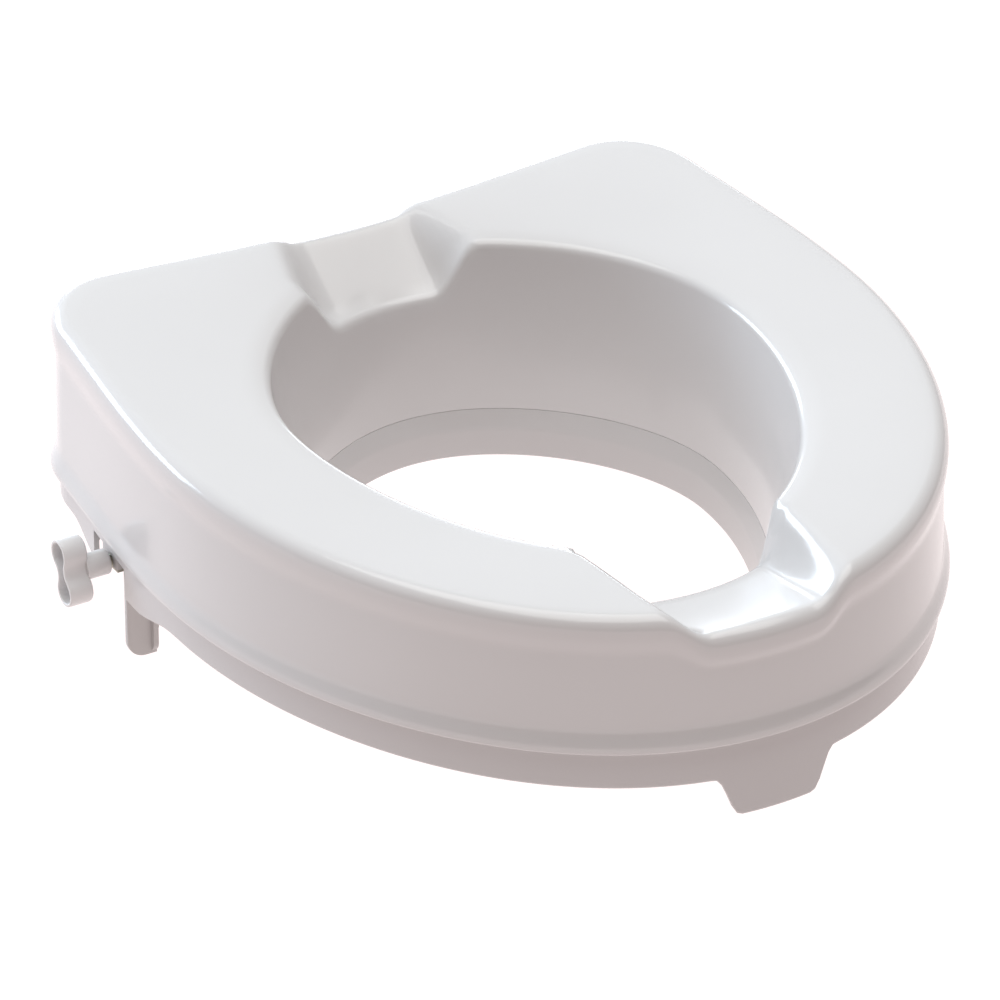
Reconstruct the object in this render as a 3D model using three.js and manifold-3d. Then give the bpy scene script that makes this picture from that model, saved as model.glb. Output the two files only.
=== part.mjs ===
// Raised toilet seat, 10 cm high, with a screw clamp on each side.
// Millimetres, +Z up. The front of the seat faces -Y and the clamps are at -X (left) and +X (right).
// The body is a hollow seat shell that sits on a base ring. Each clamp is a leg that slides along X in
// the base ring: its screw runs through a nut held in the base ring, and a knob turns the screw.
// Until the last lines, heights are measured from the lower edge of the base ring's skirt.

import * as THREE from 'three';
import { ParametricGeometry } from 'three/addons/geometries/ParametricGeometry.js';
import { mergeVertices } from 'three/addons/utils/BufferGeometryUtils.js';
import Module from 'manifold-3d';

const wasm = await Module();
wasm.setup();

// ---------------------------------------------------------------- driving dimensions
const HALF_WIDTH = 185; // widest point of the seat, X
const FRONT_Y = -233.3; // outer edge at the front
const REAR_Y = 160; // outer edge at the rear, on the centre line
const APERTURE_HALF = 119.5; // widest half of the opening, at deck height
const APERTURE_FRONT_Y = -167.4;
const APERTURE_REAR_Y = 125.2;

const DECK_Z = 94.3; // height of the deck at Y = 0
const DECK_TILT = 0.0252; // the deck falls gently towards the front
const RIDGE_TILT = -0.0136; // the ridge round the lower wall rises towards the front
const RIDGE_LOW_Z = 17;
const RIDGE_TOP_Z = 27.4;
const EDGE_R = 7.4; // rounding of the outer deck edge
const DISH = 2.6; // the deck is lower at the opening than at its outer edge
const WALL = 3;
const SLEEVE_LEAN = 0.155; // how much the opening's wall leans inwards per unit of height
const RECESS_X = -6.5; // the hygiene recesses sit a little left of the middle

const WEB_LOW_Z = 1.5; // floor of the base ring
const WEB_TOP_Z = 4;
const SLEEVE_LOW_Z = -13.5; // splash lip that hangs into the bowl
const LUG_DROP = 20.5; // front locating lug
const SIDE_LOBE_DROP = 8.8; // the skirt is deeper in front of and behind each clamp
const FIT_GAP = 0.3; // gap between pieces that touch
const RUN_GAP = 0.7; // gap beside pieces that slide

const NOTCH_Y = [56.6, 96.5]; // opening in the skirt at each clamp
const NOTCH_TOP_Z = 7.2;

const AXIS_Y = 75.5; // clamp screw
const AXIS_Z = 2.4;
const SCREW_R = 2.9;
const LEG_X = [160.2, 162.8]; // clamp leg plate, inner and outer face
const LEG_Y = [62.5, 88];
const LEG_LOW_Z = -47.5;
const LEG_RIB_Y = [64.7, 67.1];
const LEG_REACH_X = 175.4; // outer edge of the leg's rib
const LEG_TOP_Z = 6.7;
const HUB_R = 6.2;
const HUB_END_X = 180;
const KNOB_BACK_X = 191.4;
const KNOB_RIM_X = 203.9;

// screws that join the base ring to the shell, on the right; the left mirrors them
const BASE_SCREWS = [[72, 142], [144, 134], [150, 12], [132, -95], [80, -180]];
const BOWL_PADS = [[132, -62, 1.35], [112, 138, 0.1]]; // X, Y and turn

// ---------------------------------------------------------------- materials
const material = (color, roughness, metalness) =>
  new THREE.MeshStandardMaterial({ color, roughness, metalness });
const SHELL_WHITE = material(0xe9ebea, 0.22, 0);
const BASE_WHITE = material(0xe2e1df, 0.28, 0);
const CLAMP_GREY = material(0xb9b5b0, 0.4, 0);
const LEG_WHITE = material(0xd9d6d3, 0.35, 0);
const RUBBER = material(0x8f908d, 0.85, 0);
const ZINC = material(0x9d9a86, 0.4, 0.9);

// ---------------------------------------------------------------- solids
function toSolid(geometry) {
  const bare = geometry.clone();
  bare.deleteAttribute('normal');
  bare.deleteAttribute('uv');
  const merged = mergeVertices(bare, 1e-3);
  const corners = merged.index.array;
  const faces = [];
  for (let i = 0; i < corners.length; i += 3) {
    const [a, b, c] = corners.slice(i, i + 3);
    if (a !== b && b !== c && c !== a) faces.push(a, b, c);
  }
  return new wasm.Manifold(new wasm.Mesh({
    numProp: 3,
    vertProperties: Float32Array.from(merged.attributes.position.array),
    triVerts: Uint32Array.from(faces),
  }));
}

function toGeometry(solid) {
  const { vertProperties, triVerts } = solid.getMesh();
  const geometry = new THREE.BufferGeometry();
  geometry.setAttribute('position', new THREE.BufferAttribute(vertProperties, 3));
  geometry.setIndex(new THREE.BufferAttribute(triVerts, 1));
  geometry.computeVertexNormals();
  return geometry;
}

const join = (first, ...others) => others.reduce((solid, other) => solid.add(toSolid(other)), toSolid(first));
const cut = (solid, ...tools) => tools.reduce((rest, tool) => rest.subtract(toSolid(tool)), solid);

function mirrored(geometry) {
  const copy = geometry.clone();
  const place = copy.attributes.position;
  for (let i = 0; i < place.count; i++) place.setX(i, -place.getX(i));
  const corners = copy.index.array;
  for (let i = 0; i < corners.length; i += 3) [corners[i], corners[i + 1]] = [corners[i + 1], corners[i]];
  copy.computeVertexNormals();
  return copy;
}

const box = ([x0, x1], [y0, y1], [z0, z1]) =>
  new THREE.BoxGeometry(x1 - x0, y1 - y0, z1 - z0).translate((x0 + x1) / 2, (y0 + y1) / 2, (z0 + z1) / 2);
const upright = (radius, [z0, z1], x, y, sides = 16) =>
  new THREE.CylinderGeometry(radius, radius, z1 - z0, sides)
    .rotateX(Math.PI / 2)
    .translate(x, y, (z0 + z1) / 2);
const alongAxis = (radius, [x0, x1], sides = 20) =>
  new THREE.CylinderGeometry(radius, radius, x1 - x0, sides)
    .rotateZ(Math.PI / 2)
    .translate((x0 + x1) / 2, AXIS_Y, AXIS_Z);

// a flat outline in Y and Z, thickened along X
function plateAlongX(shape, [x0, x1], curveSegments = 6) {
  const basis = new THREE.Matrix4().makeBasis(
    new THREE.Vector3(0, 1, 0), new THREE.Vector3(0, 0, 1), new THREE.Vector3(1, 0, 0));
  return new THREE.ExtrudeGeometry(shape, { depth: x1 - x0, bevelEnabled: false, curveSegments })
    .applyMatrix4(basis)
    .translate(x0, 0, 0);
}

// a flat outline in X and Z, thickened along Y
function plateAlongY(shape, [y0, y1], curveSegments = 6) {
  return new THREE.ExtrudeGeometry(shape, { depth: y1 - y0, bevelEnabled: false, curveSegments })
    .rotateX(Math.PI / 2)
    .translate(0, y1, 0);
}

// a polygon whose corners may be rounded: each corner is [x, y, radius]
function roundedShape(corners) {
  const shape = new THREE.Shape();
  const count = corners.length;
  corners.forEach(([x, y, radius = 0], i) => {
    const [px, py] = corners[(i + count - 1) % count];
    const [nx, ny] = corners[(i + 1) % count];
    const back = new THREE.Vector2(px - x, py - y).setLength(radius);
    const on = new THREE.Vector2(nx - x, ny - y).setLength(radius);
    if (i === 0) shape.moveTo(x + back.x, y + back.y);
    else shape.lineTo(x + back.x, y + back.y);
    if (radius) shape.quadraticCurveTo(x, y, x + on.x, y + on.y);
  });
  return shape;
}

// ---------------------------------------------------------------- plan outlines
const v2 = (x, y) => new THREE.Vector2(x, y);
const bezier = (...points) => new THREE.CubicBezierCurve(...points.map(([x, y]) => v2(x, y)));

// right half of each outline, from the front centre to the rear centre
const outerHalf = new THREE.CurvePath();
outerHalf.add(bezier([0, FRONT_Y], [108, FRONT_Y], [HALF_WIDTH, -115], [HALF_WIDTH, 4]));
outerHalf.add(bezier([HALF_WIDTH, 4], [HALF_WIDTH, 50], [178.2, 89.5], [173.3, 133]));
outerHalf.add(bezier([173.3, 133], [170.7, 156], [153, 173.3], [131, 171]));
outerHalf.add(bezier([131, 171], [95, 167.3], [40, REAR_Y], [0, REAR_Y]));

const innerHalf = new THREE.CurvePath();
const widest = [APERTURE_HALF, 0];
innerHalf.add(bezier([0, APERTURE_FRONT_Y], [69, APERTURE_FRONT_Y], [APERTURE_HALF, -74], widest));
innerHalf.add(bezier(widest, [APERTURE_HALF, 60], [62.5, APERTURE_REAR_Y], [0, APERTURE_REAR_Y]));

const smooth = (value, from, to) => THREE.MathUtils.smootherstep(value, from, to);

// distances along the outer half at which the rings are drawn: [from, to, step], with the rear ones counted
// back from the rear centre
const OUTER_LENGTH = outerHalf.getLength();
const INNER_LENGTH = innerHalf.getLength();
const STEPS = [[0, 20, 10], [20, 55, 5], [55, 85, 10], [85, 325, 40], [325, 535, 10]];
const REAR_STEPS = [[120, 85, 17.5], [85, 55, 10], [55, 20, 5], [20, 0, 10]];
const halfStations = [];
for (const [from, to, step] of STEPS) {
  for (let s = from; s < to; s += step) halfStations.push(s);
}
for (const [from, to, step] of REAR_STEPS) {
  for (let s = from; s > to; s -= step) halfStations.push(OUTER_LENGTH - s);
}
halfStations.push(OUTER_LENGTH);

function stationAt(along, side) {
  const even = 50; // near the centre line both outlines are stepped by the same distance
  const share = smooth(along, even, OUTER_LENGTH - even);
  const pick = (curve, length, distance, outwards) => {
    const at = THREE.MathUtils.clamp(distance / length, 0, 1);
    const point = curve.getPointAt(at);
    const tangent = curve.getTangentAt(at);
    if (at === 0 || at === 1) tangent.set(at === 0 ? 1 : -1, 0);
    return {
      at: v2(point.x * side, point.y),
      normal: v2(tangent.y * side, -tangent.x).multiplyScalar(outwards),
      along: distance,
    };
  };
  return {
    outer: pick(outerHalf, OUTER_LENGTH, along, 1),
    inner: pick(innerHalf, INNER_LENGTH, along + (INNER_LENGTH - OUTER_LENGTH) * share, -1),
  };
}

// once round: up the right half from the front, and back down the left half
const stations = [
  ...halfStations.map((s) => stationAt(s, 1)),
  ...halfStations.slice(1, -1).reverse().map((s) => stationAt(s, -1)),
];

// ---------------------------------------------------------------- heights
const mix = THREE.MathUtils.mapLinear;

function tiltAt(z) {
  if (z <= 0) return 0;
  if (z < RIDGE_LOW_Z) return mix(z, 0, RIDGE_LOW_Z, 0, RIDGE_TILT);
  if (z < RIDGE_TOP_Z) return RIDGE_TILT;
  return mix(Math.min(z, DECK_Z - EDGE_R), RIDGE_TOP_Z, DECK_Z - EDGE_R, RIDGE_TILT, DECK_TILT);
}

// depth of the hygiene recess at the front and at the rear; both floors fall towards the opening
function recess(x, y) {
  const across = Math.abs(x - RECESS_X);
  if (y < 0) {
    const inwards = THREE.MathUtils.clamp((y + 226) / 68, 0, 1.05);
    return (12 + 19 * inwards) * (1 - smooth(across, 24 + 17 * inwards, 50 + 2 * inwards));
  }
  const inwards = THREE.MathUtils.clamp((157 - y) / 40, 0, 0.85);
  return (4.5 + 24 * inwards) * (1 - smooth(across, 24, 42 + 12 * inwards));
}

// how far a recess lowers a point: fully at the deck, and less down the wall
const sinkAt = (x, y, z) => recess(x, y) * THREE.MathUtils.clamp((z - 32) / 50, 0, 1);

// a closed ring whose section is a loop of [share, out, z]: share 0 is on the outer outline and 1 on the
// inner one, and out is the distance off it, away from the material
function ring(section) {
  const planAt = ({ outer, inner }, share, out) =>
    outer.at.clone().addScaledVector(outer.normal, out)
      .lerp(inner.at.clone().addScaledVector(inner.normal, out), share);
  const place = (u, v, target) => {
    const station = stations[Math.round(u * stations.length) % stations.length];
    const [share, out, level] = section[Math.round(v * section.length) % section.length];
    if (typeof level === 'function') {
      const plan = planAt(station, share, out);
      target.set(plan.x, plan.y, level(station.outer));
      return;
    }
    // where the rim of the opening is lowered, it follows the lean of the opening's wall
    const straight = planAt(station, share, out);
    const plan = planAt(station, share, out + share * SLEEVE_LEAN * sinkAt(straight.x, straight.y, level));
    target.set(plan.x, plan.y, level + plan.y * tiltAt(level) - sinkAt(plan.x, plan.y, level));
  };
  return new ParametricGeometry(place, stations.length, section.length);
}

// ---------------------------------------------------------------- seat shell
const sleeveInset = (z) => 2.5 + (84 - z) * SLEEVE_LEAN;
const deckEdge = (degrees) => {
  const turn = THREE.MathUtils.degToRad(degrees);
  return [0, -EDGE_R * (1 - Math.cos(turn)), DECK_Z - EDGE_R * (1 - Math.sin(turn))];
};
const UNDER = DECK_Z - WALL;
const SHELL_SECTION = [
  [0, 2.1, RIDGE_LOW_Z],
  [0, -0.9, RIDGE_TOP_Z],
  [0, -1.7, 76],
  deckEdge(0),
  deckEdge(45),
  deckEdge(90),
  [0.5, -7.2, DECK_Z - DISH / 2],
  [1, -7, DECK_Z - DISH],
  [1, 0.6, DECK_Z - DISH - 2.2],
  [1, 2.5, 84],
  [1, sleeveInset(10), 10],
  [1, sleeveInset(10) - WALL, 10],
  [1, 2.5 - WALL, 84],
  [1, -7, UNDER - DISH],
  [0, -7.4, UNDER],
  [0, -4.6, 85],
  [0, -3.9, 27.9],
  [0, -1.6, 25.4],
  [0, -1.6, RIDGE_LOW_Z],
];

function seatShell() {
  const bosses = [];
  const bores = [];
  for (const [x, y] of BASE_SCREWS) {
    for (const side of [-1, 1]) {
      const top = DECK_Z - DISH / 2 + y * DECK_TILT - 1.4;
      bosses.push(upright(4.6, [7.4, top], side * x, y, 12));
      bores.push(upright(2.2, [7, 26], side * x, y, 10));
    }
  }
  return cut(join(ring(SHELL_SECTION), ...bosses), ...bores);
}

// ---------------------------------------------------------------- base ring
// lower edge of the skirt: a lug at the front and a lobe that deepens up to each clamp
function skirtEdge({ at, along }) {
  const lug = LUG_DROP * (1 - smooth(along, 18, 33));
  const lobe = SIDE_LOBE_DROP * smooth(at.y, -2, 54) * (1 - smooth(at.y, 92, 128));
  return -lug - lobe;
}

const BASE_SECTION = [
  [0, -2, skirtEdge],
  [0, -2, 24.4],
  [0, -4.8, 24.4],
  [0, -4.8, WEB_TOP_Z],
  [1, 7.8, WEB_TOP_Z],
  [1, 6.9, 14],
  [1, 9.4, 14],
  [1, 10.5, 10 - FIT_GAP],
  [1, sleeveInset(10), 10 - FIT_GAP],
  [1, 18.4, 0],
  [1, 20.1, SLEEVE_LOW_Z],
  [1, 17.5, SLEEVE_LOW_Z],
  [1, 15.8, WEB_LOW_Z],
  [0, -4.8, WEB_LOW_Z],
  [0, -4.8, skirtEdge],
];

const NUT_BLOCK_X = [170, 178.2];
const NUT_BLOCK_Y = [68.5, 82.5];
const NUT_X = [171.6, 176.8];
const NUT_HALF = 5;
const SLIDE_X = [142, 152.5]; // inner end of the leg's slide, and the step down into its slot
const CROSS_WALL_X = [146.5, 150];
const TONGUE_HALF = 5; // the cross wall's lower part, round the screw

function baseRing() {
  const webZ = [WEB_LOW_Z - 20, WEB_TOP_Z + 1];
  const openings = [];
  const added = [];
  const bores = [];
  for (const side of [-1, 1]) {
    const sided = (geometry) => (side > 0 ? geometry : mirrored(geometry));
    // the skirt's opening, with the slots in the floor that the leg and its screw run in
    const [slotInner, slotOuter] = [SLIDE_X[1] - 1.7, 175];
    const screwSlot = TONGUE_HALF + RUN_GAP;
    openings.push(
      sided(box([172, 190], NOTCH_Y, [-20, NOTCH_TOP_Z])),
      sided(box([slotInner, slotOuter], [LEG_Y[0] - RUN_GAP, LEG_Y[1] + RUN_GAP], webZ)),
      sided(box([139.5, slotInner + 1], [AXIS_Y - screwSlot, AXIS_Y + screwSlot], webZ)),
    );
    // a block bridges the opening and holds the nut, whose lower side is left bare
    const pocket = NUT_HALF + FIT_GAP;
    const pocketX = [NUT_BLOCK_X[0] - 1, NUT_X[1] + FIT_GAP];
    added.push(sided(box(NUT_BLOCK_X, NUT_BLOCK_Y, [0, 15])));
    bores.push(
      sided(box(pocketX, [AXIS_Y - pocket, AXIS_Y + pocket], [-6, AXIS_Z + pocket])),
      sided(alongAxis(SCREW_R + 0.4, [NUT_BLOCK_X[0] - 2, NUT_BLOCK_X[1] + 2])),
    );
    for (const [x, y] of BASE_SCREWS) {
      added.push(upright(8, [WEB_LOW_Z, 7], side * x, y));
      bores.push(upright(4.4, [0, 4.5], side * x, y, 12), upright(2.3, [0, 9], side * x, y, 10));
    }
  }
  const opened = cut(join(ring(BASE_SECTION)), ...openings);
  return cut(added.reduce((solid, piece) => solid.add(toSolid(piece)), opened), ...bores);
}

// ---------------------------------------------------------------- clamp, drawn on the right side
function clampLeg() {
  const [inner, outer] = LEG_X;
  const [front, rear] = LEG_Y;
  const [endX, slotX] = SLIDE_X;
  const slideZ = WEB_TOP_Z + 0.4; // the slide rests on the base ring's floor
  const slotZ = 0.3;
  const plateTopZ = -1.2;
  const dipZ = -4.3; // the plate's top dips to pass under the nut
  const plate = plateAlongX(roundedShape([
    [front, LEG_LOW_Z, 6], [rear, LEG_LOW_Z, 6], [rear, plateTopZ], [83, plateTopZ], [82, dipZ], [69, dipZ],
    [68, plateTopZ], [front, plateTopZ],
  ]), LEG_X);
  // side plates: the front one goes down the leg as its rib, and flares out at the top
  const top = [[endX, LEG_TOP_Z], [endX, slideZ], [slotX, slideZ], [slotX, slotZ], [inner, slotZ]];
  const flareX = LEG_REACH_X + 1.9;
  const frontPlate = plateAlongY(roundedShape([
    [LEG_REACH_X, LEG_LOW_Z, 9.5], [LEG_REACH_X, 0.3, 2], [flareX, 5.4], [flareX, LEG_TOP_Z],
    ...top, [inner, LEG_LOW_Z],
  ]), LEG_RIB_Y);
  const rearPlate = plateAlongY(roundedShape([[outer, -14], [outer, LEG_TOP_Z, 2], ...top, [inner, -14]]),
    [rear - 2.4, rear]);
  const tongueY = [AXIS_Y - TONGUE_HALF, AXIS_Y + TONGUE_HALF];
  const crossWall = box(CROSS_WALL_X, [LEG_RIB_Y[0] + 1, rear - 1], [slideZ, 13]);
  const tongue = box(CROSS_WALL_X, tongueY, [-1.5, 6]);
  const wingZ = [slideZ, slideZ + 2];
  const wings = [
    box([endX, 154], [LEG_RIB_Y[0] - 12, LEG_RIB_Y[0] + 1], wingZ),
    box([endX, 154], [rear - 1, rear + 6], wingZ),
  ];
  return cut(join(plate, frontPlate, rearPlate, crossWall, tongue, ...wings), alongAxis(2.3, [140, 152], 14));
}

function legPad() {
  const [front, rear] = [LEG_Y[0] + 3, LEG_Y[1] - 2];
  return join(plateAlongX(roundedShape([[front, -38, 4], [rear, -38, 4], [rear, -12, 4], [front, -12, 4]]),
    [LEG_X[0] - FIT_GAP - 2.5, LEG_X[0] - FIT_GAP], 4));
}

function clampNut() {
  const [y0, y1] = [AXIS_Y - NUT_HALF, AXIS_Y + NUT_HALF];
  const [z0, z1] = [AXIS_Z - NUT_HALF, AXIS_Z + NUT_HALF];
  const shape = new THREE.Shape([v2(y0, z0), v2(y1, z0), v2(y1, z1), v2(y0, z1)]);
  shape.holes.push(new THREE.Path().absarc(AXIS_Y, AXIS_Z, SCREW_R + FIT_GAP, 0, 2 * Math.PI, true));
  return join(plateAlongX(shape, NUT_X, 10));
}

function clampScrew() {
  const neckX = [143, CROSS_WALL_X[1] + 1];
  return join(alongAxis(SCREW_R, [CROSS_WALL_X[1] + 0.4, KNOB_BACK_X - 1.6]), alongAxis(1.9, neckX, 14));
}

function retainingClip() {
  const opening = 0.55;
  const shape = new THREE.Shape();
  shape.absarc(AXIS_Y, AXIS_Z, 3.8, opening, 2 * Math.PI - opening, false);
  shape.absarc(AXIS_Y, AXIS_Z, 2.2, 2 * Math.PI - opening, opening, true);
  return join(plateAlongX(shape, [145.2, 146.2], 8));
}

// the knob's outline: two round lobes and a pinched waist, leaning back from upright
function knobOutline(inset) {
  const [lobe, waist] = [7.1 - inset, 4 - inset];
  const apart = 9.35; // from the screw's axis to the middle of each lobe
  const lean = 0.305;
  const quarter = [];
  for (let turn = 0; turn < 90; turn += 18) {
    const angle = THREE.MathUtils.degToRad(turn);
    quarter.push([apart + lobe * Math.cos(angle), lobe * Math.sin(angle)]);
  }
  for (const share of [1, 0.8, 0.6, 0.4, 0.2]) {
    quarter.push([apart * share, waist + (lobe - waist) * smooth(share, 0, 1)]);
  }
  const back = quarter.slice(1).reverse();
  const outline = [
    ...quarter, [0, waist], ...back.map(([a, b]) => [-a, b]),
    ...quarter.map(([a, b]) => [-a, -b]), [0, -waist], ...back.map(([a, b]) => [a, -b]),
  ];
  return outline.map(([a, b]) => v2(
    AXIS_Y + a * Math.sin(lean) - b * Math.cos(lean), AXIS_Z + a * Math.cos(lean) + b * Math.sin(lean)));
}

function knob() {
  const wall = new THREE.Shape(knobOutline(0));
  wall.holes.push(new THREE.Path(knobOutline(1.6)));
  const cup = plateAlongX(wall, [KNOB_BACK_X, KNOB_RIM_X]);
  const floor = plateAlongX(new THREE.Shape(knobOutline(0.4)), [KNOB_BACK_X, KNOB_BACK_X + 2]);
  const hub = alongAxis(HUB_R, [HUB_END_X, KNOB_BACK_X + 1]);
  return cut(join(cup, floor, hub), alongAxis(SCREW_R + FIT_GAP, [HUB_END_X - 2, KNOB_BACK_X - 1.3]));
}

// ---------------------------------------------------------------- small pieces of the body
function baseScrew(x, y) {
  const profile = [v2(0, 1.9), v2(3.6, 1.9), v2(4, 2.6), v2(4, 4.2), v2(1.9, 4.2), v2(1.9, 21), v2(0, 24)];
  return join(new THREE.LatheGeometry(profile, 10).rotateX(Math.PI / 2).translate(x, y, 0));
}

function bowlPad(x, y, turn) {
  const shape = roundedShape([[-18, -7, 6], [18, -7, 6], [18, 7, 6], [-18, 7, 6]]);
  const depth = WEB_LOW_Z - FIT_GAP + 2;
  return join(new THREE.ExtrudeGeometry(shape, { depth, bevelEnabled: false, curveSegments: 4 })
    .rotateZ(turn)
    .translate(x, y, -2));
}

// ---------------------------------------------------------------- assembly
const seat = new THREE.Group();

function addPiece(name, solid, look, side = 1) {
  const geometry = toGeometry(solid);
  const mesh = new THREE.Mesh(side > 0 ? geometry : mirrored(geometry), look.clone());
  mesh.name = name;
  seat.add(mesh);
}

addPiece('seat_shell', seatShell(), SHELL_WHITE);
addPiece('base_ring', baseRing(), BASE_WHITE);

for (const [label, side] of [['left', -1], ['right', 1]]) {
  addPiece(`clamp_leg_${label}`, clampLeg(), LEG_WHITE, side);
  addPiece(`leg_pad_${label}`, legPad(), RUBBER, side);
  addPiece(`clamp_nut_${label}`, clampNut(), ZINC, side);
  addPiece(`clamp_screw_${label}`, clampScrew(), ZINC, side);
  addPiece(`retaining_clip_${label}`, retainingClip(), ZINC, side);
  addPiece(`knob_${label}`, knob(), CLAMP_GREY, side);
  BOWL_PADS.forEach((place, i) => {
    addPiece(`bowl_pad_${['front', 'rear'][i]}_${label}`, bowlPad(...place), RUBBER, side);
  });
  BASE_SCREWS.forEach((place, i) => {
    addPiece(`base_screw_${label}_${i + 1}`, baseScrew(...place), ZINC, side);
  });
}

// the origin is below the middle of the object, level with the tips of the legs
const bounds = new THREE.Box3().setFromObject(seat);
seat.position.set(0, -(bounds.min.y + bounds.max.y) / 2, -bounds.min.z);

export default seat;
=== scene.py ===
# The looks of a raised toilet seat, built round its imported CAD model.
# Shapes are drawn in millimetres in the part's own frame: +Z up, the front towards -Y, and z = 0 at the
# lower edge of the base ring's skirt. place() turns such points into the row frame, in metres.

import math

import bmesh
import bpy
import numpy as np
from mathutils import Matrix, Vector


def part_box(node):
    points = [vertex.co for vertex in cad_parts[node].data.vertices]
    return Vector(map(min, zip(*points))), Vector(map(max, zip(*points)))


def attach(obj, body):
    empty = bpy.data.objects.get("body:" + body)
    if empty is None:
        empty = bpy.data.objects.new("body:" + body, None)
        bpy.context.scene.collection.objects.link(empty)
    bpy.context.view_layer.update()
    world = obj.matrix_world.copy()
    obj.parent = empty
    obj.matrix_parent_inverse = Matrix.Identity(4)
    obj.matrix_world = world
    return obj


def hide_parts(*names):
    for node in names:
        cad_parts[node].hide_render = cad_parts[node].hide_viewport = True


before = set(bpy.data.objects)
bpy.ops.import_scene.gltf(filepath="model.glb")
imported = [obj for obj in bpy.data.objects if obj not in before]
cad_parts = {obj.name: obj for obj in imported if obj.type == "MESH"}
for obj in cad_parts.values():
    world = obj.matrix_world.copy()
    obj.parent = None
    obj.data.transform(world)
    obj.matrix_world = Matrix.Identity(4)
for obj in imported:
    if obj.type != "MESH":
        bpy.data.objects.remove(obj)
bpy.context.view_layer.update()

# ---------------------------------------------------------------- driving dimensions
HALF_WIDTH = 185.0
FRONT_Y = -233.3
REAR_Y = 160.0
APERTURE_HALF = 119.5
APERTURE_FRONT_Y = -167.4
APERTURE_REAR_Y = 125.2

DECK_Z = 94.3
DECK_TILT = 0.0252
RIDGE_TILT = -0.0136
RIDGE_LOW_Z = 17.0
RIDGE_TOP_Z = 27.4
EDGE_R = 7.4
DISH = 2.6
WALL = 3.0
SLEEVE_LEAN = 0.155  # the opening's wall leans inwards by this much per mm of height
RECESS_X = -6.5  # the hygiene recesses sit a little left of the middle

WEB_LOW_Z = 1.5
WEB_TOP_Z = 4.0
SLEEVE_LOW_Z = -13.5
LUG_DROP = 20.5
SIDE_LOBE_DROP = 8.8
NOTCH_Y = (56.6, 96.5)
NOTCH_TOP_Z = 7.2

AXIS_Y = 75.5
AXIS_Z = 2.4
SCREW_R = 2.9
LEG_X = (160.2, 162.8)
LEG_Y = (62.5, 88.0)
LEG_LOW_Z = -47.5
LEG_RIB_Y = (64.7, 67.1)
LEG_REACH_X = 175.4
LEG_TOP_Z = 6.7
SLIDE_X = (142.0, 152.5)
CROSS_WALL_X = (146.5, 150.0)
TONGUE_HALF = 5.0
HUB_R = 6.2
HUB_END_X = 180.0
KNOB_BACK_X = 191.4
KNOB_RIM_X = 203.9
NUT_BLOCK_X = (170.0, 178.2)
NUT_BLOCK_Y = (68.5, 82.5)
NUT_X = (171.6, 176.8)
NUT_HALF = 5.0
FIT_GAP = 0.3
RUN_GAP = 0.7

BASE_SCREWS = [(72, 142), (144, 134), (150, 12), (132, -95), (80, -180)]
BOWL_PADS = {"front": (132, -62, 1.35), "rear": (112, 138, 0.1)}
SIDES = {"left": -1, "right": 1}

# the clamp screw's axis is known in both frames, and ties them together
screw_low, screw_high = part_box("clamp_screw_left")
screw_middle = (screw_low + screw_high) * 500
SHIFT = np.array([0, screw_middle.y - AXIS_Y, screw_middle.z - AXIS_Z])


def place(points):
    return (np.asarray(points, float) + SHIFT) / 1000


# ---------------------------------------------------------------- meshes
def new_object(name, points, faces):
    mesh = bpy.data.meshes.new(name)
    mesh.from_pydata(place(points).tolist(), [], [tuple(int(i) for i in face) for face in faces])
    obj = bpy.data.objects.new(name, mesh)
    bpy.context.scene.collection.objects.link(obj)
    edit(obj, lambda bm: bmesh.ops.recalc_face_normals(bm, faces=bm.faces))
    return obj


def edit(obj, change):
    bm = bmesh.new()
    bm.from_mesh(obj.data)
    change(bm)
    bm.to_mesh(obj.data)
    bm.free()
    obj.data.update()


def bake_modifiers(obj):
    graph = bpy.context.evaluated_depsgraph_get()
    mesh = bpy.data.meshes.new_from_object(obj.evaluated_get(graph))
    obj.modifiers.clear()
    old = obj.data
    obj.data = mesh
    bpy.data.meshes.remove(old)


def combine(obj, tools, operation, solver="MANIFOLD"):
    """Joins the tools to obj or cuts them out of it, and removes them.

    The EXACT solver is slower, but it leaves obj's untouched faces as they are."""
    for tool in tools:
        step = obj.modifiers.new("step", "BOOLEAN")
        step.object = tool
        step.operation = operation
        step.solver = solver
    bake_modifiers(obj)
    for tool in tools:
        bpy.data.objects.remove(tool)
    return obj


def merged(objects):
    """One mesh out of several that don't touch."""
    first, *others = objects
    bm = bmesh.new()
    for obj in objects:
        bm.from_mesh(obj.data)
    bm.to_mesh(first.data)
    bm.free()
    for obj in others:
        bpy.data.objects.remove(obj)
    return first


def round_edges(obj, width, angle=40, segments=2):
    bevel = obj.modifiers.new("round", "BEVEL")
    bevel.width = width / 1000
    bevel.segments = segments
    bevel.limit_method = "ANGLE"
    bevel.angle_limit = math.radians(angle)
    bevel.use_clamp_overlap = True
    bake_modifiers(obj)
    return obj


def smooth_shading(obj, angle=35):
    obj.data.shade_smooth()
    obj.data.set_sharp_from_angle(angle=math.radians(angle))
    return obj


def loft(name, rings, capped=True):
    """Joins rings of equally many points. The end rings are closed with a fan, or joined to each other."""
    rings = [np.asarray(r, float) for r in rings]
    count = len(rings[0])
    points = list(np.vstack(rings))
    faces = []
    joins = len(rings) - 1 if capped else len(rings)
    for r in range(joins):
        low, high = r * count, ((r + 1) % len(rings)) * count
        for i in range(count):
            j = (i + 1) % count
            faces.append((low + i, low + j, high + j, high + i))
    if capped:
        for start, ring in ((0, rings[0]), ((len(rings) - 1) * count, rings[-1])):
            centre = len(points)
            points.append(ring.mean(0))
            faces += [(start + i, start + (i + 1) % count, centre) for i in range(count)]
    return new_object(name, points, faces)


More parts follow.
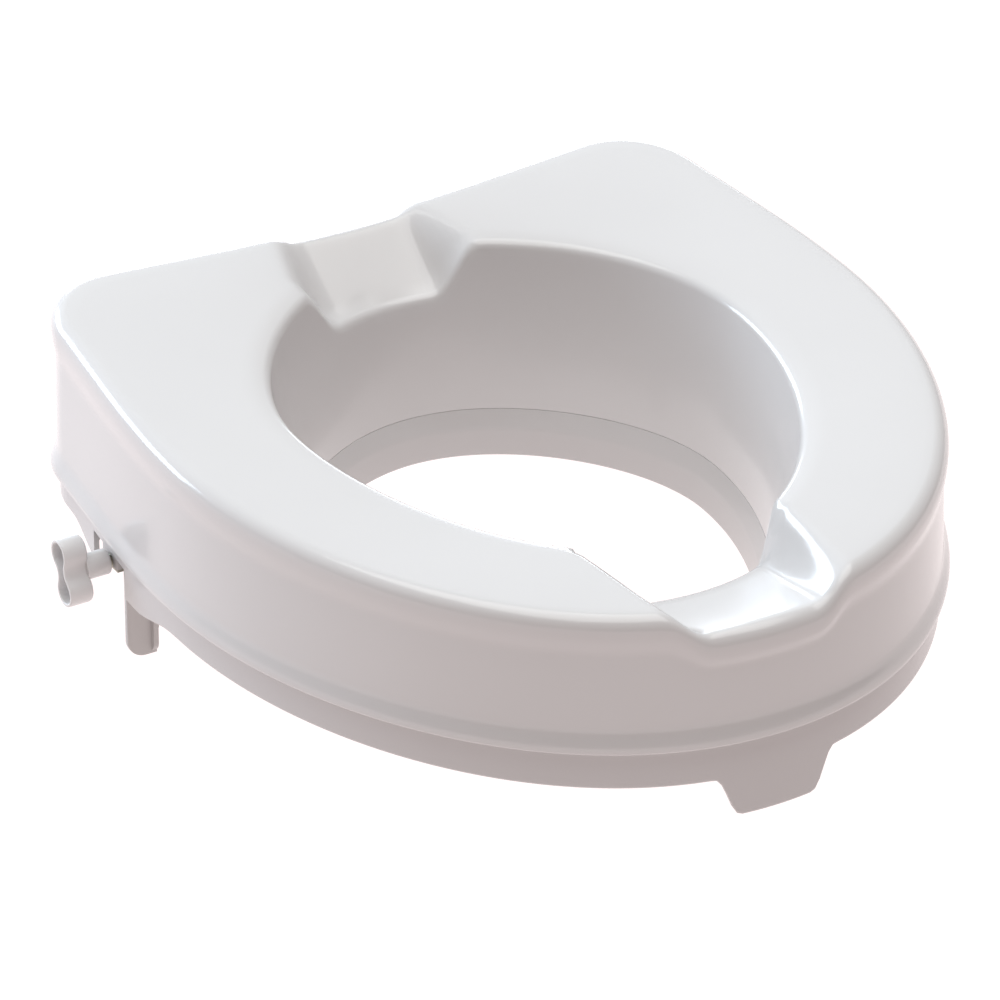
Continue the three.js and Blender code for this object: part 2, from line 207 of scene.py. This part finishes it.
def slab(name, outline, axis, low, high):
    """A flat outline thickened along an axis: outline is in the other two axes, in the order X, Y, Z."""
    rings = [np.insert(np.asarray(outline, float), axis, level, axis=1) for level in (low, high)]
    count = len(outline)
    faces = [tuple(range(count)), tuple(range(count, 2 * count))]
    for i in range(count):
        j = (i + 1) % count
        faces.append((i, j, count + j, count + i))
    return new_object(name, np.vstack(rings), faces)


def block(name, x, y, z):
    return slab(name, [(y[0], z[0]), (y[1], z[0]), (y[1], z[1]), (y[0], z[1])], 0, *x)


def circle(radius, count, centre=(0, 0)):
    turn = np.linspace(0, 2 * np.pi, count, endpoint=False)
    return np.column_stack([centre[0] + radius * np.cos(turn), centre[1] + radius * np.sin(turn)])


def upright(name, radius, z, x, y, count=48):
    return slab(name, circle(radius, count, (x, y)), 2, *z)


def along_axis(name, radius, x, count=48):
    return slab(name, circle(radius, count, (AXIS_Y, AXIS_Z)), 0, *x)


def rounded(corners, closed=True, steps=6):
    """A run of points whose corners are rounded: each corner is (a, b) or (a, b, radius)."""
    points = []
    count = len(corners)
    for i, (a, b, *radius) in enumerate(corners):
        here = np.array([a, b], float)
        ends = not closed and i in (0, count - 1)
        if not radius or not radius[0] or ends:
            points.append(here)
            continue
        back = np.array(corners[i - 1][:2], float) - here
        on = np.array(corners[(i + 1) % count][:2], float) - here
        back /= np.linalg.norm(back)
        on /= np.linalg.norm(on)
        half = math.acos(np.clip(back @ on, -1, 1)) / 2
        centre = here + (back + on) / np.linalg.norm(back + on) * radius[0] / math.sin(half)
        start = here + back * radius[0] / math.tan(half) - centre
        end = here + on * radius[0] / math.tan(half) - centre
        sweep = math.acos(np.clip(start @ end / radius[0] ** 2, -1, 1))
        for t in np.linspace(0, 1, steps + 1):
            arm = (math.sin((1 - t) * sweep) * start + math.sin(t * sweep) * end) / math.sin(sweep)
            points.append(centre + arm)
    return points


def sided(obj, side):
    """Mirrors a piece drawn on the right side to the left."""
    if side < 0:
        obj.data.transform(Matrix.Scale(-1, 4, (1, 0, 0)))
        obj.data.flip_normals()
    return obj


# ---------------------------------------------------------------- the seat's outlines and heights
def smoother(value, low, high):
    t = np.clip((np.asarray(value, float) - low) / (high - low), 0, 1)
    return t**3 * (t * (6 * t - 15) + 10)


def half_outline(*curves):
    """Distance along a half outline of Bezier curves, its points, and the normals on its right."""
    t = np.linspace(0, 1, 401)[:, None]
    runs = []
    for a, b, c, d in np.array(curves, float):
        run = (1 - t) ** 3 * a + 3 * (1 - t) ** 2 * t * b + 3 * (1 - t) * t**2 * c + t**3 * d
        runs.append(run if not runs else run[1:])
    points = np.vstack(runs)
    along = np.concatenate([[0], np.cumsum(np.linalg.norm(np.diff(points, axis=0), axis=1))])
    tangent = np.gradient(points, along, axis=0)
    tangent /= np.linalg.norm(tangent, axis=1)[:, None]
    tangent[0] = (1, 0)
    tangent[-1] = (-1, 0)
    return along, points, np.column_stack([tangent[:, 1], -tangent[:, 0]])


OUTER = half_outline(
    [(0, FRONT_Y), (108, FRONT_Y), (HALF_WIDTH, -115), (HALF_WIDTH, 4)],
    [(HALF_WIDTH, 4), (HALF_WIDTH, 50), (178.2, 89.5), (173.3, 133)],
    [(173.3, 133), (170.7, 156), (153, 173.3), (131, 171)],
    [(131, 171), (95, 167.3), (40, REAR_Y), (0, REAR_Y)],
)
INNER = half_outline(
    [(0, APERTURE_FRONT_Y), (69, APERTURE_FRONT_Y), (APERTURE_HALF, -74), (APERTURE_HALF, 0)],
    [(APERTURE_HALF, 0), (APERTURE_HALF, 60), (62.5, APERTURE_REAR_Y), (0, APERTURE_REAR_Y)],
)


def pick(outline, distance):
    along, points, normals = outline
    at = np.column_stack([np.interp(distance, along, points[:, k]) for k in (0, 1)])
    normal = np.column_stack([np.interp(distance, along, normals[:, k]) for k in (0, 1)])
    return at, normal / np.linalg.norm(normal, axis=1)[:, None]


def stations(step=2.6, even=50):
    """Places once round the seat, up the right half from the front and back down the left half."""
    length, inner_length = OUTER[0][-1], INNER[0][-1]
    along = np.linspace(0, length, round(length / step) + 1)
    share = smoother(along, even, length - even)
    outer, outer_normal = pick(OUTER, along)
    inner, inner_normal = pick(INNER, along + (inner_length - length) * share)
    half = [outer, outer_normal, inner, -inner_normal]
    both = [np.vstack([a, a[-2:0:-1] * (-1, 1)]) for a in half]
    return both, np.concatenate([along, along[-2:0:-1]])


STATIONS, ALONG = stations()


def tilt(z):
    deck_side_z = DECK_Z - EDGE_R
    return np.interp(z, [0, RIDGE_LOW_Z, RIDGE_TOP_Z, deck_side_z], [0, RIDGE_TILT, RIDGE_TILT, DECK_TILT])


def recess(x, y):
    """Depth of the hygiene recess at the front and at the rear. Both floors fall towards the opening."""
    across = np.abs(x - RECESS_X)
    inwards = np.clip((y + 226) / 68, 0, 1.05)
    front = (12 + 19 * inwards) * (1 - smoother((across - 24 - 17 * inwards) / (26 - 15 * inwards), 0, 1))
    inwards = np.clip((157 - y) / 40, 0, 0.85)
    rear = (4.5 + 24 * inwards) * (1 - smoother((across - 24) / (18 + 12 * inwards), 0, 1))
    return np.where(y < 0, front, rear)


def skirt_drop():
    """How far the skirt hangs below its plain edge: a lug at the front, and a lobe up to each clamp."""
    y = STATIONS[0][:, 1]
    lug = LUG_DROP * (1 - smoother(ALONG, 18, 33))
    return lug + SIDE_LOBE_DROP * smoother(y, -2, 54) * (1 - smoother(y, 92, 128))


def ring(name, section):
    """A closed ring. Each section point is (share, out, z, hang): share 0 is on the outer outline and 1
    on the inner one, out is the distance off it, and hang is how much of the skirt's drop it takes."""
    share, out, level, hang = np.array(section, float).T
    outer, outer_normal, inner, inner_normal = [a[:, None, :] for a in STATIONS]

    def plan(extra):
        off = (out + extra)[..., None]
        part = share[:, None]
        return (outer + outer_normal * off) * (1 - part) + (inner + inner_normal * off) * part

    sinks = np.clip((level - 32) / 50, 0, 1)
    straight = plan(np.zeros((len(ALONG), 1)))
    leaning = plan(share * SLEEVE_LEAN * sinks * recess(straight[..., 0], straight[..., 1]))
    x, y = leaning[..., 0], leaning[..., 1]
    z = level + y * tilt(level) - sinks * recess(x, y) - hang * skirt_drop()[:, None]
    return loft(name, np.stack([x, y, z], axis=2), capped=False)


def run(share, points, hang=0):
    return [(share, a, b, hang) for a, b in points]


def sleeve_inset(z):
    return 2.5 + (84 - z) * SLEEVE_LEAN


# ---------------------------------------------------------------- seat shell
def outer_wall(z):
    """How far the shell's wall stands off the outline: a flare at the foot and a bulge below the deck."""
    draft = -0.95 - 0.0194 * (z - 31)
    return draft + 3.05 * (1 - smoother(z, 17.5, 30.5)) + 2.03 * smoother(z, 70, DECK_Z - EDGE_R)


def seat_shell():
    wall_z = [18.6, *np.arange(19.5, 31, 1.2), 40, 50, 60, *np.arange(68, 86, 2.2)]
    turns = np.radians(np.linspace(0, 90, 9))
    edge = [(-EDGE_R * (1 - math.cos(t)), DECK_Z - EDGE_R * (1 - math.sin(t))) for t in turns]
    deck = [(s, -EDGE_R + 0.4 * s, DECK_Z - DISH * s**1.4, 0) for s in np.linspace(0, 1, 15)[1:]]
    lip = rounded([(-6, 91.6), (1.6, 90.0, 5.5), (sleeve_inset(80), 80)], closed=False, steps=8)
    sleeve = [(sleeve_inset(z), z) for z in np.arange(80, 12, -4)]
    foot = rounded([(sleeve_inset(14), 14), (14, 10, 0.15), (14 - WALL, 10, 0.15), (10.5, 14)], closed=False)
    section = [
        *run(0, rounded([(-1.6, 19), (-1.6, RIDGE_LOW_Z, 0.4), (2.1, RIDGE_LOW_Z, 1.2), (2.1, 18.6)],
                        closed=False)),
        *run(0, [(outer_wall(z), z) for z in wall_z[1:]]),
        *run(0, edge),
        *deck,
        *run(1, lip[1:]),
        *run(1, sleeve[1:]),
        *run(1, foot),
        *run(1, [(sleeve_inset(z) - WALL, z) for z in (40, 84)]),
        *run(1, [(-7, DECK_Z - WALL - DISH)]),
        *run(0, [(-7.4, DECK_Z - WALL), (-4.6, 85), (-3.9, 60), (-3.9, 27.9), (-1.6, 25.4)]),
    ]
    return smooth_shading(ring("seat_shell_fine", section), 50)


# ---------------------------------------------------------------- base ring
def base_ring():
    skirt_edge = rounded([(-4.8, 6), (-4.8, 0, 0.8), (-2, 0, 1.2), (-2, 2)], closed=False)
    lip = rounded([(10.8, 9.85, 0.15), (14.1, 9.85, 0.15), (18.2, 0.5, 14), (20.1, SLEEVE_LOW_Z, 1.2),
                   (17.5, SLEEVE_LOW_Z, 1.2), (15.8, WEB_LOW_Z, 2), (8, WEB_LOW_Z)], closed=False)
    section = [
        *run(0, skirt_edge[1:-1], hang=1),
        *run(0, [(-2, 2)], hang=1),
        *run(0, [(-2, 5)], hang=0.5),
        *run(0, [(-2, z) for z in (9, 13, 18)]),
        *run(0, rounded([(-2, 20), (-2, 24.4, 0.6), (-4.8, 24.4, 0.6), (-4.8, 20)], closed=False)),
        *run(0, rounded([(-4.8, 8), (-4.8, WEB_TOP_Z, 1.5), (-10, WEB_TOP_Z)], closed=False)),
        *run(1, [(7.8, WEB_TOP_Z), (6.9, 14), (9.4, 14)]),
        *run(1, lip),
        *run(0, rounded([(-10, WEB_LOW_Z), (-4.8, WEB_LOW_Z, 1.2), (-4.8, 0)], closed=False)[:-1]),
    ]
    base = ring("base_ring_fine", section)
    web_z = (WEB_LOW_Z - 20, WEB_TOP_Z + 1)
    slot_inner = SLIDE_X[1] - 1.7
    screw_slot = TONGUE_HALF + RUN_GAP
    pocket = NUT_HALF + FIT_GAP
    openings, added, pockets, bores = [], [], [], []
    for side in SIDES.values():
        leg_slot_y = (LEG_Y[0] - RUN_GAP, LEG_Y[1] + RUN_GAP)
        screw_slot_y = (AXIS_Y - screw_slot, AXIS_Y + screw_slot)
        openings += [
            sided(block("notch", (172, 190), NOTCH_Y, (-20, NOTCH_TOP_Z)), side),
            sided(block("leg_slot", (slot_inner, 175), leg_slot_y, web_z), side),
            sided(block("screw_slot", (139.5, slot_inner + 1), screw_slot_y, web_z), side),
        ]
        added.append(sided(block("nut_block", NUT_BLOCK_X, NUT_BLOCK_Y, (0, 15)), side))
        bore_x = (NUT_BLOCK_X[0] - 2, NUT_BLOCK_X[1] + 2)
        pocket_x = (NUT_BLOCK_X[0] - 1, NUT_X[1] + FIT_GAP)
        pocket_y = (AXIS_Y - pocket, AXIS_Y + pocket)
        pockets.append(sided(block("pocket", pocket_x, pocket_y, (-6, AXIS_Z + pocket)), side))
        bores.append(sided(along_axis("bore", SCREW_R + 0.4, bore_x), side))
        for x, y in BASE_SCREWS:
            added.append(upright("screw_pad", 8, (WEB_LOW_Z, 7), side * x, y))
            pockets.append(upright("counterbore", 4.4, (0, 4.5), side * x, y))
            bores.append(upright("screw_hole", 2.3, (0, 9), side * x, y))
    for opening in openings:
        combine(base, [opening], "DIFFERENCE", "EXACT")
    combine(base, [merged(added)], "UNION", "EXACT")
    combine(base, [merged(pockets)], "DIFFERENCE", "EXACT")
    combine(base, [merged(bores)], "DIFFERENCE", "EXACT")
    return smooth_shading(base, 35)


# ---------------------------------------------------------------- clamp, drawn on the right side
def clamp_leg():
    inner, outer = LEG_X
    front, rear = LEG_Y
    end_x, slot_x = SLIDE_X
    slide_z, slot_z = WEB_TOP_Z + 0.4, 0.3
    plate_top, dip_z, dip_front, dip_rear = -1.2, -4.3, 69, 82  # the plate's top dips to pass under the nut
    plate = slab("clamp_leg", rounded([
        (front, LEG_LOW_Z, 6), (rear, LEG_LOW_Z, 6), (rear, plate_top), (dip_rear + 1, plate_top),
        (dip_rear, dip_z, 1), (dip_front, dip_z, 1), (dip_front - 1, plate_top), (front, plate_top),
    ]), 0, inner, outer)
    top = [(end_x, LEG_TOP_Z), (end_x, slide_z), (slot_x, slide_z), (slot_x, slot_z), (inner, slot_z)]
    flare_x = LEG_REACH_X + 1.9
    rib = rounded([(LEG_REACH_X, LEG_LOW_Z, 9.5), (LEG_REACH_X, 0.3, 2.5), (flare_x, 5.4, 1),
                   (flare_x, LEG_TOP_Z), *top, (inner, LEG_LOW_Z)], steps=12)
    guide_low_z = -14
    guide = rounded([(outer, guide_low_z), (outer, LEG_TOP_Z, 2), *top, (inner, guide_low_z)])
    wing_x, wing_z = (end_x, 154), (slide_z, slide_z + 2)
    rib_front = LEG_RIB_Y[0]
    combine(plate, [
        slab("rib", rib, 1, *LEG_RIB_Y),
        slab("guide", guide, 1, rear - 2.4, rear),
        block("cross_wall", CROSS_WALL_X, (rib_front + 1, rear - 1), (slide_z, 13)),
        block("tongue", CROSS_WALL_X, (AXIS_Y - TONGUE_HALF, AXIS_Y + TONGUE_HALF), (-1.5, 6)),
        block("wing_front", wing_x, (rib_front - 12, rib_front + 1), wing_z),
        block("wing_rear", wing_x, (rear - 1, rear + 6), wing_z),
    ], "UNION")
    combine(plate, [along_axis("neck_hole", 2.3, (140, 152))], "DIFFERENCE")
    return smooth_shading(round_edges(plate, 0.4), 35)


def leg_pad():
    back_x = LEG_X[0] - FIT_GAP
    face_x = back_x - 2.5
    front, rear = LEG_Y[0] + 3, LEG_Y[1] - 2
    low, high = -38, -12
    outline = rounded([(front, low, 4), (rear, low, 4), (rear, high, 4), (front, high, 4)])
    pad = slab("leg_pad", outline, 0, face_x + 0.9, back_x)
    rows = np.linspace(front + 3, rear - 4.7, 6)
    ribs = [block("rib", (face_x, face_x + 1.2), (y, y + 1.7), (low + 3, high - 3)) for y in rows]
    combine(pad, ribs, "UNION")
    return smooth_shading(round_edges(pad, 0.3), 35)


def clamp_screw(hand):
    """An M6 screw with its real thread. hand is -1 where the piece is mirrored afterwards."""
    pitch, root_r, crest_r = 1.0, 2.45, 3.0
    shank_x, end_x = CROSS_WALL_X[1] + 0.4, KNOB_BACK_X - 1.6
    turn = np.linspace(0, 2 * np.pi, 32, endpoint=False)
    rings = [circle(1.7, 32), circle(1.9, 32), circle(1.9, 32)]
    places = [143, 143.3, shank_x]
    for x in np.arange(shank_x, end_x, pitch / 6):
        phase = (x / pitch - hand * turn / (2 * np.pi)) % 1
        flank = np.clip(1.35 * (1 - np.abs(2 * phase - 1)) - 0.12, 0, 1)
        runout = np.clip((x - shank_x) / 1.5, 0, 1)
        radius = root_r + (crest_r - root_r) * flank * runout
        rings.append(np.column_stack([radius * np.cos(turn), radius * np.sin(turn)]))
        places.append(x)
    middle = np.array([AXIS_Y, AXIS_Z])
    solid = loft("clamp_screw", [np.insert(r + middle, 0, x, axis=1) for r, x in zip(rings, places)])
    return smooth_shading(solid, 40)


def knob_outline(inset):
    """Two round lobes and a pinched waist, leaning back from upright."""
    lobe, waist, apart, lean = 7.1 - inset, 4.0 - inset, 9.35, 0.305
    turn = np.linspace(0, np.pi / 2, 18, endpoint=False)
    share = np.linspace(1, 0, 15, endpoint=False)
    arc = np.column_stack([apart + lobe * np.cos(turn), lobe * np.sin(turn)])
    neck = np.column_stack([apart * share, waist + (lobe - waist) * smoother(share, 0, 1)])
    quarter = np.vstack([arc, neck])
    back = quarter[:0:-1]
    outline = np.vstack([quarter, [(0, waist)], back * (-1, 1), quarter * (-1, -1), [(0, -waist)],
                         back * (1, -1)])
    a, b = outline.T
    return np.column_stack([AXIS_Y + a * math.sin(lean) - b * math.cos(lean),
                            AXIS_Z + a * math.cos(lean) + b * math.sin(lean)])


def knob():
    wall = 1.6
    profile = rounded([(3.2, KNOB_BACK_X), (0, KNOB_BACK_X, 2.0), (0, KNOB_RIM_X, 0.6),
                       (wall, KNOB_RIM_X, 0.6), (wall + 0.2, KNOB_BACK_X + 2, 1), (3.2, KNOB_BACK_X + 2)],
                      closed=False)
    cup = loft("knob", [np.insert(knob_outline(inset), 0, x, axis=1) for inset, x in profile])
    bore_r, bore_end_x = SCREW_R + FIT_GAP, KNOB_BACK_X - 1.3
    hub_profile = rounded([(bore_r, bore_end_x), (bore_r, HUB_END_X, 0.3), (HUB_R, HUB_END_X, 0.9),
                           (HUB_R, KNOB_BACK_X + 1)], closed=False)
    hub = loft("hub", [np.insert(circle(r, 72, (AXIS_Y, AXIS_Z)), 0, x, axis=1) for r, x in hub_profile])
    combine(cup, [hub], "UNION")
    return smooth_shading(cup, 40)


# ---------------------------------------------------------------- small pieces of the body
def base_screw(name, x, y):
    """A pan-head screw with a cross recess, its head at the bottom of its counterbore."""
    profile = rounded([(0.01, 1.9), (2.6, 1.9, 1), (4, 2.9, 1), (4, 4.2, 0.2), (1.9, 4.2, 0.3), (1.9, 21),
                       (0.3, 24)], closed=False)
    screw = loft(name, [np.insert(circle(r, 40, (x, y)), 2, z, axis=1) for r, z in profile])
    cross = [block("slot", (x - a, x + a), (y - b, y + b), (1, 3.2)) for a, b in ((2.1, 0.4), (0.4, 2.1))]
    combine(screw, cross, "DIFFERENCE")
    return smooth_shading(screw, 35)


def bowl_pad(x, y, turn):
    low, high = -2, WEB_LOW_Z - FIT_GAP
    outline = np.array(rounded([(-18, -7, 6), (18, -7, 6), (18, 7, 6), (-18, 7, 6)]))
    pad = slab("bowl_pad", outline, 2, low + 0.8, high)
    ribs = [block("rib", (a, a + 1.6), (-5.5, 5.5), (low, low + 1)) for a in np.arange(-13, 12, 3.05)]
    combine(pad, ribs, "UNION")
    round_edges(pad, 0.3)
    middle = Vector(place((0, 0, 0)))
    turned = Matrix.Translation(Vector(place((x, y, 0)))) @ Matrix.Rotation(turn, 4, "Z")
    pad.data.transform(turned @ Matrix.Translation(-middle))
    return smooth_shading(pad, 35)


# ---------------------------------------------------------------- materials
def nodes_of(name):
    material = bpy.data.materials.new(name)
    material.use_nodes = True
    tree = material.node_tree
    return material, tree, tree.nodes["Principled BSDF"]


def noise(tree, scale, detail=3.0, roughness=0.5):
    coords = tree.nodes.get("coords") or tree.nodes.new("ShaderNodeTexCoord")
    coords.name = "coords"
    node = tree.nodes.new("ShaderNodeTexNoise")
    node.inputs["Scale"].default_value = scale
    node.inputs["Detail"].default_value = detail
    node.inputs["Roughness"].default_value = roughness
    tree.links.new(coords.outputs["Object"], node.inputs["Vector"])
    return node.outputs["Fac"]


def spread(tree, value, low, high, from_low=0.3, from_high=0.7):
    node = tree.nodes.new("ShaderNodeMapRange")
    node.inputs["From Min"].default_value = from_low
    node.inputs["From Max"].default_value = from_high
    node.inputs["To Min"].default_value = low
    node.inputs["To Max"].default_value = high
    tree.links.new(value, node.inputs["Value"])
    return node.outputs["Result"]


def blend(tree, share, first, second):
    node = tree.nodes.new("ShaderNodeMix")
    node.data_type = "RGBA"
    tree.links.new(share, node.inputs["Factor"])
    for socket, colour in (("A", first), ("B", second)):
        target = [s for s in node.inputs if s.name == socket and s.type == "RGBA"][0]
        if isinstance(colour, tuple):
            target.default_value = (*colour, 1)
        else:
            tree.links.new(colour, target)
    return [s for s in node.outputs if s.type == "RGBA"][0]


def bump(tree, shader, layers):
    """Adds layers of (height, strength, distance in metres) to the shader's normal."""
    normal = None
    for height, strength, distance in layers:
        node = tree.nodes.new("ShaderNodeBump")
        node.inputs["Strength"].default_value = strength
        node.inputs["Distance"].default_value = distance
        tree.links.new(height, node.inputs["Height"])
        if normal:
            tree.links.new(normal, node.inputs["Normal"])
        normal = node.outputs["Normal"]
    tree.links.new(normal, shader.inputs["Normal"])


def plastic(name, colour, drift, roughness, grain, coat=0.0):
    """Moulded plastic: the tint drifts a little, the gloss is uneven and the skin has a fine grain."""
    material, tree, shader = nodes_of(name)
    tint = blend(tree, spread(tree, noise(tree, 9, 2), 0, 1), colour, drift)
    tree.links.new(tint, shader.inputs["Base Color"])
    gloss = spread(tree, noise(tree, 30, 2), roughness * 0.95, roughness * 1.06)
    tree.links.new(gloss, shader.inputs["Roughness"])
    waves = noise(tree, 14, 2)
    skin = noise(tree, 1400, 2)
    bump(tree, shader, [(waves, 0.12, 0.0015), (skin, grain, 0.00008)])
    shader.inputs["IOR"].default_value = 1.5
    shader.inputs["Coat Weight"].default_value = coat
    shader.inputs["Coat Roughness"].default_value = 0.08
    return material


def rubber():
    material, tree, shader = nodes_of("rubber")
    tint = blend(tree, spread(tree, noise(tree, 120, 4), 0, 1), (0.235, 0.235, 0.228), (0.30, 0.30, 0.29))
    tree.links.new(tint, shader.inputs["Base Color"])
    tree.links.new(spread(tree, noise(tree, 200, 3), 0.7, 0.9), shader.inputs["Roughness"])
    bump(tree, shader, [(noise(tree, 900, 3), 0.35, 0.0002)])
    return material


def zinc():
    """Zinc-plated steel: bright with dull patches, fine turning marks, and an olive cast."""
    material, tree, shader = nodes_of("zinc_steel")
    patches = spread(tree, noise(tree, 260, 4), 0, 1)
    tint = blend(tree, patches, (0.50, 0.48, 0.40), (0.36, 0.345, 0.28))
    tree.links.new(tint, shader.inputs["Base Color"])
    tree.links.new(spread(tree, noise(tree, 500, 3), 0.28, 0.48), shader.inputs["Roughness"])
    bump(tree, shader, [(noise(tree, 2200, 2), 0.25, 0.00005)])
    shader.inputs["Metallic"].default_value = 1.0
    return material


SHELL_WHITE = plastic("shell_plastic", (0.605, 0.595, 0.59), (0.59, 0.58, 0.575), 0.18, 0.05, coat=0.25)
BASE_WHITE = plastic("base_plastic", (0.545, 0.53, 0.525), (0.53, 0.515, 0.51), 0.235, 0.06)
LEG_WHITE = plastic("leg_plastic", (0.50, 0.485, 0.475), (0.485, 0.47, 0.46), 0.32, 0.12)
KNOB_GREY = plastic("knob_plastic", (0.70, 0.69, 0.685), (0.68, 0.67, 0.665), 0.36, 0.15)
RUBBER = rubber()
ZINC = zinc()


# ---------------------------------------------------------------- assembly
def add(obj, name, body, node, material):
    obj.name = obj.data.name = name
    obj.data.materials.clear()
    obj.data.materials.append(material)
    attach(obj, body)
    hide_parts(node)


def keep(node, material, rounding):
    """Keeps a CAD node, with a finish and with its edges eased."""
    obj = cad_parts[node]
    obj.data.materials.clear()
    obj.data.materials.append(material)
    bevel = obj.modifiers.new("eased", "BEVEL")
    bevel.width = rounding / 1000
    bevel.segments = 2
    bevel.limit_method = "ANGLE"


add(seat_shell(), "seat_shell_skin", "body", "seat_shell", SHELL_WHITE)
add(base_ring(), "base_ring_skin", "body", "base_ring", BASE_WHITE)

for label, side in SIDES.items():
    moving = [
        (clamp_leg(), "clamp_leg", "leg", "leg_plastic", LEG_WHITE),
        (leg_pad(), "leg_pad", "leg", "pad_rubber", RUBBER),
        (clamp_screw(side), "clamp_screw", "knob", "zinc_steel", ZINC),
        (knob(), "knob", "knob", "knob_plastic", KNOB_GREY),
    ]
    for obj, piece, body, slot, material in moving:
        name, node = f"{piece}_skin_{label}", f"{piece}_{label}"
        add(sided(obj, side), name, f"{label}_{body}", node, material)
    for end, where in BOWL_PADS.items():
        pad = sided(bowl_pad(*where), side)
        add(pad, f"bowl_pad_skin_{end}_{label}", "body", f"bowl_pad_{end}_{label}", RUBBER)
    for number, (x, y) in enumerate(BASE_SCREWS, 1):
        node = f"base_screw_{label}_{number}"
        add(base_screw(node, side * x, y), f"{node}_skin", "body", node, ZINC)
    keep(f"clamp_nut_{label}", ZINC, 0.25)
    keep(f"retaining_clip_{label}", ZINC, 0.15)


# ---------------------------------------------------------------- floor, light and camera
LIT_POINT = (0, 0, 0.05)  # the softboxes face the middle of the seat


def floor():
    """A pale floor just below the feet of the legs. It glows a little, so that it comes out plain white."""
    size, z = 4.0, -0.0005
    mesh = bpy.data.meshes.new("floor")
    corners = [(-size, -size, z), (size, -size, z), (size, size, z), (-size, size, z)]
    mesh.from_pydata(corners, [], [(0, 1, 2, 3)])
    obj = bpy.data.objects.new("floor", mesh)
    bpy.context.scene.collection.objects.link(obj)
    material, _, shader = nodes_of("floor")
    shader.inputs["Base Color"].default_value = (0.06, 0.06, 0.06, 1)
    shader.inputs["Roughness"].default_value = 1.0
    shader.inputs["Specular IOR Level"].default_value = 0.0
    shader.inputs["Emission Color"].default_value = (1, 0.905, 0.9, 1)
    shader.inputs["Emission Strength"].default_value = 1.12
    mesh.materials.append(material)


def softbox(name, place_at, size, power, colour):
    light = bpy.data.lights.new(name, "AREA")
    light.shape = "RECTANGLE"
    light.size, light.size_y = size
    light.energy = power
    light.color = colour
    obj = bpy.data.objects.new(name, light)
    obj.location = place_at
    obj.rotation_mode = "QUATERNION"
    obj.rotation_quaternion = (Vector(LIT_POINT) - Vector(place_at)).to_track_quat("-Z", "Y")
    bpy.context.scene.collection.objects.link(obj)


def world_light(bright, dim, towards):
    """A sky that is bright in one direction and dims smoothly away from it."""
    world = bpy.data.worlds.new("studio")
    bpy.context.scene.world = world
    world.use_nodes = True
    tree = world.node_tree
    coords = tree.nodes.new("ShaderNodeTexCoord")
    dot = tree.nodes.new("ShaderNodeVectorMath")
    dot.operation = "DOT_PRODUCT"
    dot.inputs[1].default_value = Vector(towards).normalized()
    tree.links.new(coords.outputs["Generated"], dot.inputs[0])
    share = spread(tree, dot.outputs["Value"], 0, 1, from_low=0.1, from_high=0.9)
    colour = blend(tree, share, dim, bright)
    tree.links.new(colour, tree.nodes["Background"].inputs["Color"])


def camera():
    azimuth, elevation, distance = math.radians(-29.88), math.radians(30.35), 3.7765
    target = Vector(place((-4, 12.9, 15.7)))
    back = Vector((math.sin(azimuth) * math.cos(elevation), -math.cos(azimuth) * math.cos(elevation),
                   math.sin(elevation)))
    data = bpy.data.cameras.new("camera")
    data.sensor_width = 36
    data.lens = 289.4
    data.clip_start, data.clip_end = 0.1, 50
    obj = bpy.data.objects.new("camera", data)
    obj.location = target + back * distance
    obj.rotation_mode = "QUATERNION"
    obj.rotation_quaternion = (-back).to_track_quat("-Z", "Y")
    bpy.context.scene.collection.objects.link(obj)
    bpy.context.scene.camera = obj


floor()
world_light(bright=(0.98, 1.03, 1.08), dim=(0.14, 0.09, 0.08), towards=(0.0, 0.64, 0.77))
softbox("key", (-1.25, 2.6, 0.8), size=(2.4, 0.9), power=56, colour=(0.78, 0.94, 1.10))
softbox("top", (0, -0.1, 2.4), size=(2.4, 2.4), power=43, colour=(1.01, 1.01, 0.99))
softbox("strip", (1.3, 2.7, 0.42), size=(1.6, 0.5), power=11, colour=(0.88, 0.96, 1.04))
camera()
bpy.context.scene.view_settings.view_transform = "Standard"
